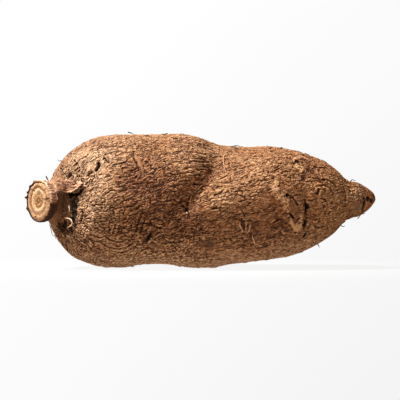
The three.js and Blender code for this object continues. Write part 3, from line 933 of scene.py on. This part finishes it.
class Heap:
    """Gathers small meshes into one piece."""

    def __init__(self):
        self.vertices, self.faces, self.shades, self.count = [], [], [], 0

    def add(self, vertices, faces, shade):
        self.vertices.append(vertices)
        self.faces.append(faces + self.count)
        self.shades.append(np.broadcast_to(shade, (len(vertices),)))
        self.count += len(vertices)

    def make(self, name):
        vertices = np.vstack(self.vertices)
        vertices[:, 2] = np.maximum(vertices[:, 2], 0)
        piece(name, vertices, np.vstack(self.faces), SCRAPS, shade=np.concatenate(self.shades))


def shell(middle, normal, thickness):
    """A closed sheet about a grid of points [row, column, xyz]: its vertices and faces."""
    rows, columns = middle.shape[:2]
    half = normal * np.broadcast_to(thickness, (rows, columns))[:, :, None] / 2
    vertices = np.vstack([(middle + half).reshape(-1, 3), (middle - half).reshape(-1, 3)])
    top = grid_faces(rows, columns, around=False)
    count = rows * columns
    index = np.arange(count).reshape(rows, columns)
    edge = np.concatenate([index[0], index[1:, -1], index[-1, ::-1][1:], index[::-1, 0][1:]])
    rim = np.stack([edge[:-1], edge[1:], edge[1:] + count, edge[:-1] + count], axis=1)
    return vertices, np.vstack([top, top[:, ::-1] + count, rim[:, ::-1]])


TUBE_SIDES = 6


def rootlet(heap, points, radius, shade, count, tip=0.25):
    """A round string through some points, which thins out to a share `tip` of its radius."""
    line = curve_through(points, count)
    radii = radius * (1 - (1 - tip) * smooth(np.linspace(0, 1, count), 0.4, 1.0))
    along = unit(np.gradient(line, axis=0))
    side = np.cross(along[0], UP if abs(along[0][2]) < 0.9 else ACROSS)
    turn = np.arange(TUBE_SIDES)[:, None] * 2 * math.pi / TUBE_SIDES
    rings = []
    for point, way, r in zip(line, along, radii):
        side = unit(side - way * (side @ way))
        rings.append(point + r * (np.cos(turn) * side + np.sin(turn) * np.cross(way, side)))
    heap.add(np.vstack(rings), grid_faces(count, TUBE_SIDES), shade)


def strip(heap, path, width, lift, shade, curl, seed, thickness=0.4, columns=7, count=28):
    """A lifted ribbon of skin along a path, with uneven edges. curl raises its lower edge."""
    line = curve_through(track(path), count)
    share = np.linspace(0, 1, count)
    normal = unit(blur(np.array([skin_near(p)[1] for p in line]), 6, 0))
    across = np.cross(unit(np.gradient(line, axis=0)), normal)
    taper = np.sqrt(np.maximum(smooth(share, -0.02, 0.3) * smooth(share, 1.02, 0.7), 0.004))[:, None]
    ragged = 1 + 0.35 * grit(line / 1.3 + seed)[:, None]
    v = np.linspace(-1, 1, columns)[None, :]
    reach = 0.5 * width * taper * ragged * v
    rise = lift * smooth(share, 0, 0.5)[:, None] + curl * (v * 0.5 + 0.5) ** 2 * taper - 0.25 * (1 - taper)
    middle = line[:, None] + across[:, None] * reach[..., None] + normal[:, None] * rise[..., None]
    thin = thickness * (1 - 0.7 * v**2) * taper
    vertices, faces = shell(middle, np.broadcast_to(normal[:, None], middle.shape), thin)
    edge = np.tile(np.broadcast_to(0.15 * v**2, (count, columns)).ravel(), 2)
    heap.add(vertices, faces, shade + edge)


# ---- The neck ----

FACE_RINGS, FACE_COLUMNS = 90, 240
FACE_RADIUS = 13.6
BARK_COLUMNS = 330
BARK_RADIUS = 14.0
# The collar's section from under the cut face, over its rim and back to the neck: behind the cut, radius.
BARK_SECTION = [(1.2, 12.9), (0.4, 13.2), (-0.1, 13.45), (-0.3, 13.75), (-0.1, 14.15), (0.5, 14.4)]
BARK_SECTION += [(d, 14.5 - 0.05 * (d - 1)) for d in np.arange(1.1, 5.2, 0.4)]
BARK_SECTION += [(5.6, 14.2), (5.9, 13.6), (5.8, 12.9), (5.2, 12.2)]
# Torn points that stand out from the collar's front edge: where round it, how far, how wide.
BARK_POINTS = [(2.98, 2.1, 0.05), (2.72, 1.2, 0.06), (2.35, 0.9, 0.08), (3.5, 1.2, 0.09), (1.95, 0.7, 0.05)]


def neck_point(back, turn, radius):
    """Points round the neck's axis. turn is 0 at the front and right, and a quarter turn at the top."""
    out = np.cos(turn)[..., None] * ACROSS + np.sin(turn)[..., None] * UP
    return (CUT - OUT * back[..., None] + out * radius[..., None]).reshape(-1, 3)


def add_cut_face():
    """The sawn wood: rings of flesh about the pith, rough from the saw, with cracks."""
    share = np.linspace(0.004, 1, FACE_RINGS)[:, None]
    turn = np.linspace(0, 2 * math.pi, FACE_COLUMNS, endpoint=False)[None, :] + 0 * share
    radius = share * FACE_RADIUS + 0 * turn
    place = polar(radius, turn, 0 * radius)
    pith = np.array([-0.4, 0.1, 0])
    uneven = 0.65 * wobble(place / 5 + 3) + 0.28 * wobble(place / 1.8 + 8)
    ring = (np.linalg.norm(place - pith, axis=1) + uneven) / FACE_RADIUS
    fibre = ridges(polar(9, turn, radius / 3))
    grain = fine(place / [0.7, 0.7, 1])
    lift = 0.28 * np.cos(2 * math.pi * (ring - 0.5) / 0.31) + 0.16 * fibre + 0.13 * grain
    lift += 0.3 * wobble(place / 3.2 + 70) - 0.5 * bell(ring - 0.14, 0.09)
    crack = np.zeros(len(place))
    for turned, start, end in ((0.15, 0.45, 1.0), (2.3, 0.5, 0.8), (-1.9, 0.66, 0.97), (1.35, 0.6, 0.75)):
        ahead = np.array([math.cos(turned), math.sin(turned), 0])
        along = place @ ahead / FACE_RADIUS
        aside = place @ np.array([-ahead[1], ahead[0], 0]) + 0.5 * wobble(place / 2 + 44)
        inside = smooth(along, start, start + 0.1) * smooth(along, end, end - 0.1) * bell(aside, 0.35)
        crack = np.maximum(crack, inside)
    lift -= 0.7 * crack
    # A stained patch, and painted shade darkening the cracks.
    stain = smooth(place[:, 0], 3.5, 9) * bell(place[:, 1] - 1.0 + wobble(place / 2 + 9), 2.0)
    stain = np.maximum(stain, 0.9 * crack)
    vertices = neck_point(0 * turn, turn, radius) + OUT * (lift - 0.2)[:, None]
    faces = grid_faces(FACE_RINGS, FACE_COLUMNS)
    piece("cut_face", vertices, faces, wood_material(), place=place, ring=ring, fibre=fibre, stain=stain)


def add_neck_bark():
    """The bark's collar round the cut: ragged at both edges, split along its length, painted darker below as
    shade.
    """
    section = np.array(BARK_SECTION)
    turn = np.linspace(0, 2 * math.pi, BARK_COLUMNS, endpoint=False) + 0 * section[:, :1]
    back, radius = section[:, :1] + 0 * turn, section[:, 1:] + 0 * turn
    ring = polar(BARK_RADIUS, turn, back)
    front_edge = smooth(back, 2.5, -0.4)
    rear_edge = smooth(back, 3.0, 5.6)
    chips = coarse(ring / [3.2, 3.2, 9]).reshape(back.shape)
    splits = np.abs(ridges(ring / [1.6, 1.6, 7.0] + 5)).reshape(back.shape)
    rough = grit(ring / [1.1, 1.1, 1.4] + 9).reshape(back.shape)
    back = back + front_edge * (0.7 * chips + 0.35 * rough) + rear_edge * (1.1 * chips + 0.4 * rough)
    outside = smooth(radius, 13.1, 13.7)
    radius = radius + outside * (0.9 * np.minimum(splits, 0.35) - 0.25 + 0.3 * rough + 0.35 * chips)
    for at, out, wide in BARK_POINTS:
        bump = bell(turn - at, wide) * front_edge * outside
        radius = radius + out * bump
        back = back - 0.4 * bump
    # The collar's lower half is painted darker as shade.
    below = smooth(np.sin(turn), 0.05, -0.2)
    left = smooth(np.cos(turn), -0.1, -0.5)
    front_stripe = bell(back - 0.3, 0.7)
    # A painted highlight along the upper half of the rear rim, where it catches the light.
    rear_rim_highlight = bell(back - 5.4, 0.5) * smooth(np.sin(turn), -0.05, 0.15)
    shade = 0.66 + 0.22 * front_stripe + 0.34 * rear_rim_highlight + 0.2 * rough + 0.12 * chips
    shade = shade * (1 - 0.72 * below) * (1 - 0.75 * left)
    # Painted shade in the splits, and a painted shadow along the rear edge's lower half.
    crease = np.maximum(smooth(splits, 0.1, 0.02) * outside, below * smooth(np.abs(back - 5.6), 0.7, 0.3))
    flow = np.stack([BARK_RADIUS * np.cos(turn), back, 3.9 * np.sin(turn)], axis=-1).reshape(-1, 3)
    faces = grid_faces(len(section), BARK_COLUMNS)
    fields = {"flow": flow, "shade": shade.ravel(), "crease": 0.7 * crease.ravel()}
    piece("neck_bark", neck_point(back, turn, radius), faces, BARK, **fields)


FLAP_TOP = [(-101, 60.8), (-96, 61.4), (-91.5, 61.2), (-86.5, 60.8), (-82, 60.2), (-79.4, 58.8)]
FLAP_FOOT = [(-97.6, 53.6), (-94.2, 53), (-90, 52.7), (-86, 52.6), (-83, 53.6), (-80.6, 55.8), (-78.4, 57.8)]
FLAP_SLOTS = [[(-101, 59.4), (-96.4, 59.2)], [(-94, 57.4), (-89.4, 57.8)], [(-86, 60.4), (-83.4, 58.4)]]
FLAP_ROWS, FLAP_COLUMNS = 90, 30


def add_bark_flap():
    """A torn sheet of bark over the neck: its upper edge runs into the body, its lower lip is lifted."""
    shape = FLAP_ROWS, FLAP_COLUMNS
    top, foot = (curve_through(track(path), FLAP_ROWS) for path in (FLAP_TOP, FLAP_FOOT))
    v = np.linspace(0, 1, FLAP_COLUMNS)[None, :]
    flat = (top[:, None] * (1 - v[..., None]) + foot[:, None] * v[..., None]).reshape(-1, 3)
    found = np.array([skin_near(p) for p in flat])
    base = found[:, 0].reshape(*shape, 3)
    way = unit(blur(found[:, 1].reshape(*shape, 3), 6, 0))
    share = np.linspace(0, 1, FLAP_ROWS)[:, None]
    streaks = ridges(flat / [6, 6, 0.9] + 7).reshape(shape)
    rough = grit(flat / 1.1 + 30).reshape(shape)
    ragged = 0.9 * coarse(flat / 2.2 + 12).reshape(shape) * v
    rise = 0.4 + 2.4 * v**1.8 * smooth(share, 0.02, 0.4) + 0.5 * streaks + 0.3 * rough
    rise -= 1.2 * smooth(share, 0.05, 0) + 0.6 * smooth(share, 0.98, 1) + 0.9 * (1 - smooth(v, 0, 0.25))
    middle = base + way * rise[..., None] + unit(foot - top)[:, None] * ragged[..., None]
    vertices, faces = shell(middle, way, 0.7 * (1 - 0.6 * v**4))
    # Lighter along the lifted lip and towards the right end: painted highlight where they face the light.
    shade = 0.46 + 0.3 * smooth(v, 0.84, 0.97) + 0.16 * smooth(share, 0.6, 0.85)
    shade = shade + 0.3 * streaks + 0.15 * rough
    # Slots painted dark, as shade in them.
    slots = np.zeros(shape)
    for path in FLAP_SLOTS:
        far = np.linalg.norm(base[..., None, :] - track(path), axis=-1).min(-1)
        slots = np.maximum(slots, bell(far, 0.55))
    flow = np.stack([share * 26 + 0 * v, v * 8 + 0 * share, 0 * v + 0 * share], axis=-1).reshape(-1, 3)
    # The sheet's underside is painted black, as shade.
    shade = np.concatenate([shade.ravel(), 0 * shade.ravel()])
    crease = np.tile(slots.ravel(), 2)
    piece("bark_flap", vertices, faces, BARK, flow=np.vstack([flow, flow]), shade=shade, crease=crease)


add_cut_face()
add_neck_bark()
add_bark_flap()

# ---- Rootlets, torn strips and flakes ----

# Dried rootlets: x, y, z along each, then its radius, its shade and how thin its end is.
ROOTLETS = [
    # The pale curl in the neck's hollow, and the short ones about it.
    ([(-91.9, -31.5, 35.2), (-88.2, -34.5, 34.4), (-86.7, -35.8, 32.2), (-87.6, -34.5, 30.2),
      (-90.4, -31.5, 28.6)], 0.38, 0.96, 0.7),
    ([(-91.9, -31.5, 35.2), (-94.2, -28, 33.2), (-96.4, -25, 31.6)], 0.3, 0.45, 0.3),
    ([(-89.3, -31.8, 43.4), (-88.9, -32.2, 41.2), (-89.3, -31.8, 38.9)], 0.36, 0.95, 0.25),
    ([(-91.5, -25.6, 23.4), (-89.9, -26.8, 22.3), (-88.7, -28.4, 23.3)], 0.3, 0.9, 0.25),
    ([(-95, -21.5, 22.6), (-93.2, -23.2, 23.0)], 0.28, 0.85, 0.25),
    # Dark hairs that stand past the outline.
    ([(-104.6, -14, 30.4), (-103.6, -14, 28), (-102.8, -15, 24.4), (-101.6, -15, 22.6),
      (-100.0, -14, 22.8)], 0.26, 0.3, 0.4),
    ([(-105.7, -24, 63.6), (-104.8, -24, 61.6), (-103.6, -24, 60)], 0.5, 0.05, 0.25),
    ([(-95.4, -9, 74.0), (-97.6, -8, 74.6), (-98.8, -8, 74.4), (-99.8, -8, 75.8)], 0.24, 0.2, 0.25),
    ([(-51, -4, 94.6), (-49.2, -4, 94.1), (-46.6, -4, 93.2)], 0.4, 0.1, 0.25),
    ([(-51, -4, 2.0), (-48.4, -4, 1.0), (-45.8, -4, 0.5)], 0.36, 0.12, 0.25),
    ([(22.1, -5, 83.8), (23.6, -5, 85.2), (26.2, -5, 85.0), (28, -5, 83.6)], 0.28, 0.25, 0.5),
    ([(9.4, -5, 84.6), (11.4, -5, 85.4), (12.6, -5, 84.4)], 0.26, 0.15, 0.25),
    ([(55.4, -5, 82.6), (55.8, -5, 84.0), (57, -5, 83.6)], 0.3, 0.1, 0.25),
    ([(80.2, -3, 18.4), (81.4, -3, 16.6), (82.6, -3, 14.2)], 0.42, 0.05, 0.5),
    ([(97.2, -3, 31.0), (98.6, -3, 28.8), (100.6, -3, 29.2)], 0.34, 0.12, 0.5),
    ([(103.6, -3, 58.8), (104.6, -3, 60.6), (105.8, -3, 61.4), (107.9, -3, 60.6)], 0.36, 0.08, 0.5),
    ([(109.2, -3, 34.2), (111, -3, 36.4), (112.6, -3, 39.0)], 0.3, 0.2, 0.5),
    ([(112.2, -3, 39.8), (113.4, -3, 37.6), (114.4, -3, 38.6)], 0.34, 0.08, 0.5),
]
# Torn strips of skin: x, z along each, then its width, lift, shade and curl.
STRIPS = [
    ([(-45.0, 78.6), (-42.0, 74), (-39.8, 69.6), (-38.4, 64.2)], 1.8, 0.3, 0.44, 0.5),
    ([(18.0, 81.6), (15.4, 76), (15.7, 70), (17.2, 64)], 0.6, 0.4, 0.62, 0.1),
    ([(-60.6, 23.6), (-59.6, 27), (-57.8, 31.6)], 0.8, 0.5, 0.5, 0.6),
    ([(34.4, 23.6), (35.4, 20.4), (36.6, 17.4)], 0.7, 0.5, 0.72, 0.3),
    ([(1.4, 58), (-1.6, 54.8), (-4.2, 52.6)], 0.5, 0.25, 0.6, 0.3),
    ([(-5.6, 51), (-7, 48), (-7.4, 44)], 0.5, 0.25, 0.6, 0.3),
    ([(-10.2, 39.0), (-8.6, 38.2)], 0.7, 0.8, 0.8, 0.2),
    ([(-81.6, 42.8), (-79.8, 42.2), (-77.8, 42.2)], 0.9, 0.4, 0.62, 0.4),
    ([(-83.2, 39.6), (-81.8, 40.2), (-81.2, 38)], 0.6, 0.4, 0.6, 0.4),
]
TANGLED_FIBRES = 26
FLAKES = 900


def add_rootlets():
    """The rootlets of the list, and fine tangled fibres in the hollow below the neck."""
    heap = Heap()
    for points, radius, shade, tip in ROOTLETS:
        rootlet(heap, np.array(points) + [BODY_X, 0, 0], radius, shade, 24, tip)
    rng = np.random.default_rng(5)
    for _ in range(TANGLED_FIBRES):
        start = on_skin(rng.uniform(-100, -84), rng.uniform(20, 34))
        steps = rng.normal(size=(3, 3)) * [1.3, 0.5, 1.3] + [0.2, 0, -0.4]
        path = start + np.vstack([np.zeros(3), np.cumsum(steps, axis=0)])
        path = np.array([skin_near(p)[0] + skin_near(p)[1] * rng.uniform(0.2, 0.9) for p in path])
        rootlet(heap, path, rng.uniform(0.14, 0.26), rng.uniform(0.1, 0.62), 10)
    heap.make("rootlets")


def add_strips():
    heap = Heap()
    for k, row in enumerate(STRIPS):
        strip(heap, *row, seed=7 * k)
    heap.make("bark_strips")


def add_flakes():
    """Small chips of skin standing off it, each with its long side about along the root."""
    rng = np.random.default_rng(9)
    heap = Heap()
    along_root = unit(np.gradient(points, axis=0)).reshape(-1, 3)
    v = np.linspace(-1, 1, 4)
    u = np.linspace(0, 1, 6)
    for k in rng.choice(np.nonzero((BEHIND > 17) & (X < 112))[0], FLAKES):
        turn = rng.normal(0.15, 0.35)
        along, across = along_root[k], np.cross(N[k], along_root[k])
        ahead = along * math.cos(turn) + across * math.sin(turn)
        aside = across * math.cos(turn) - along * math.sin(turn)
        if aside[2] * -N[k, 1] > 0:
            aside = -aside
        length, width, lift = rng.uniform(1.4, 4.2), rng.uniform(0.5, 1.3), rng.uniform(0.1, 0.35)
        wide = width / 2 * np.sqrt(np.maximum(1 - (2 * u - 1) ** 2, 0.02))
        rise = lift * (v[None, :] * 0.5 + 0.5) + 0.15 * np.sin(u * 3.1)[:, None]
        middle = P_out[k] + ahead * ((u - 0.5) * length)[:, None, None]
        middle = middle + aside * (wide[:, None] * v)[..., None] + N[k] * rise[..., None]
        vertices, faces = shell(middle, np.broadcast_to(N[k], middle.shape), 0.22)
        light = 0.34 + 0.22 * tone[k] + rng.uniform(-0.1, 0.16)
        heap.add(vertices, faces, np.clip(light, 0.15, 0.8))
    heap.make("skin_flakes")


add_rootlets()
add_strips()
add_flakes()

# ---- Surface, light and camera ----

TABLE_GLOW = 0.7  # the surface is lit from below close to the root, as a small light table is
FLOOR_HALF = 6.0
FLOOR_DROP = 0.0002
LAMP_AIM = Vector((0, 0, 0.045))
# Name, place, size, energy and colour of each lamp.
LAMPS = [
    ("key", (-0.68, -0.17, 1.16), 0.26, 37.0, (1.0, 0.985, 0.96)),
    ("fill", (-0.57, -0.81, 1.05), 1.0, 9.0, (1.0, 0.95, 0.9)),
]


def pale_floor():
    """White and matt. Away from the root it is clear to the camera, which sees the studio's white."""
    m = Nodes(bpy.data.materials.new("pale_floor"))
    paths = m.node("LightPath").outputs
    seen = m.math("MAXIMUM", paths["Is Glossy Ray"], paths["Is Transmission Ray"])
    seen = m.math("MAXIMUM", paths["Is Camera Ray"], seen)
    place = m.vector("MULTIPLY", m.node("NewGeometry").outputs["Position"], (0.7, 1.0, 0.0))
    away_from_root = m.vector("LENGTH", place, output="Value")
    shade = m.mix(seen, (0.36, 0.30, 0.25, 1), (0.85, 0.85, 0.85, 1))
    strength = m.range(away_from_root, 0.04, 0.11, TABLE_GLOW, 0.0)
    strength = m.times(strength, m.weighed(seen, -0.6, 1.0))
    glow = m.node("Emission", {"Color": (1.0, 0.9, 0.8, 1), "Strength": strength})
    lit = m.node("AddShader", {0: m.node("BsdfDiffuse", {"Color": shade}), 1: glow})
    clear = m.times(seen, m.range(away_from_root, 0.03, 0.19, 0.92, 1.0))
    mixed = m.node("MixShader", {0: clear, 1: lit, 2: m.node("BsdfTransparent")})
    m.node("OutputMaterial", {"Surface": mixed})
    return m.owner


def add_floor():
    mesh = bpy.data.meshes.new("floor")
    corners = [(x * FLOOR_HALF, y * FLOOR_HALF, 0) for x, y in ((-1, -1), (1, -1), (1, 1), (-1, 1))]
    mesh.from_pydata(corners, [], [(0, 1, 2, 3)])
    mesh.materials.append(pale_floor())
    floor = bpy.data.objects.new("floor", mesh)
    floor.location.z = -FLOOR_DROP
    bpy.context.scene.collection.objects.link(floor)


def add_world():
    """Dim and warm as a light, and to the camera white, a little darker towards the lower right."""
    w = Nodes(bpy.data.worlds.new("studio"))
    paths = w.node("LightPath").outputs
    slope = w.vector("DOT_PRODUCT", w.node("TexCoord").outputs["Generated"], (-0.215, 0, 0.215), "Value")
    level = w.math("ADD", slope, 0.965, clamp=True)
    seen = w.math("MAXIMUM", paths["Is Camera Ray"], paths["Is Transmission Ray"])
    ambient = w.node("Background", {"Color": (1.0, 0.86, 0.74, 1), "Strength": 0.07})
    shown = w.node("Background", {"Color": level, "Strength": 1.0})
    w.node("OutputWorld", {"Surface": w.node("MixShader", {0: seen, 1: ambient, 2: shown})})
    bpy.context.scene.world = w.owner


def add_lamp(name, at, size, energy, colour):
    lamp = bpy.data.lights.new(name, "AREA")
    lamp.shape = "DISK"
    lamp.size = size
    lamp.energy = energy
    lamp.color = colour
    obj = bpy.data.objects.new(name, lamp)
    obj.location = at
    obj.rotation_euler = (LAMP_AIM - Vector(at)).to_track_quat("-Z", "Y").to_euler()
    bpy.context.scene.collection.objects.link(obj)


def add_camera():
    """A long lens that looks level at the root's front, from under a metre away."""
    lens = bpy.data.cameras.new("camera")
    lens.lens = 120
    lens.sensor_width = 36
    camera = bpy.data.objects.new("camera", lens)
    camera.location = (-0.0020, -0.9333, 0.0473)
    camera.rotation_euler = (math.pi / 2, 0, 0)
    bpy.context.scene.collection.objects.link(camera)
    bpy.context.scene.camera = camera


add_floor()
add_world()
for lamp in LAMPS:
    add_lamp(*lamp)
add_camera()
bpy.context.scene.view_settings.view_transform = "Standard"
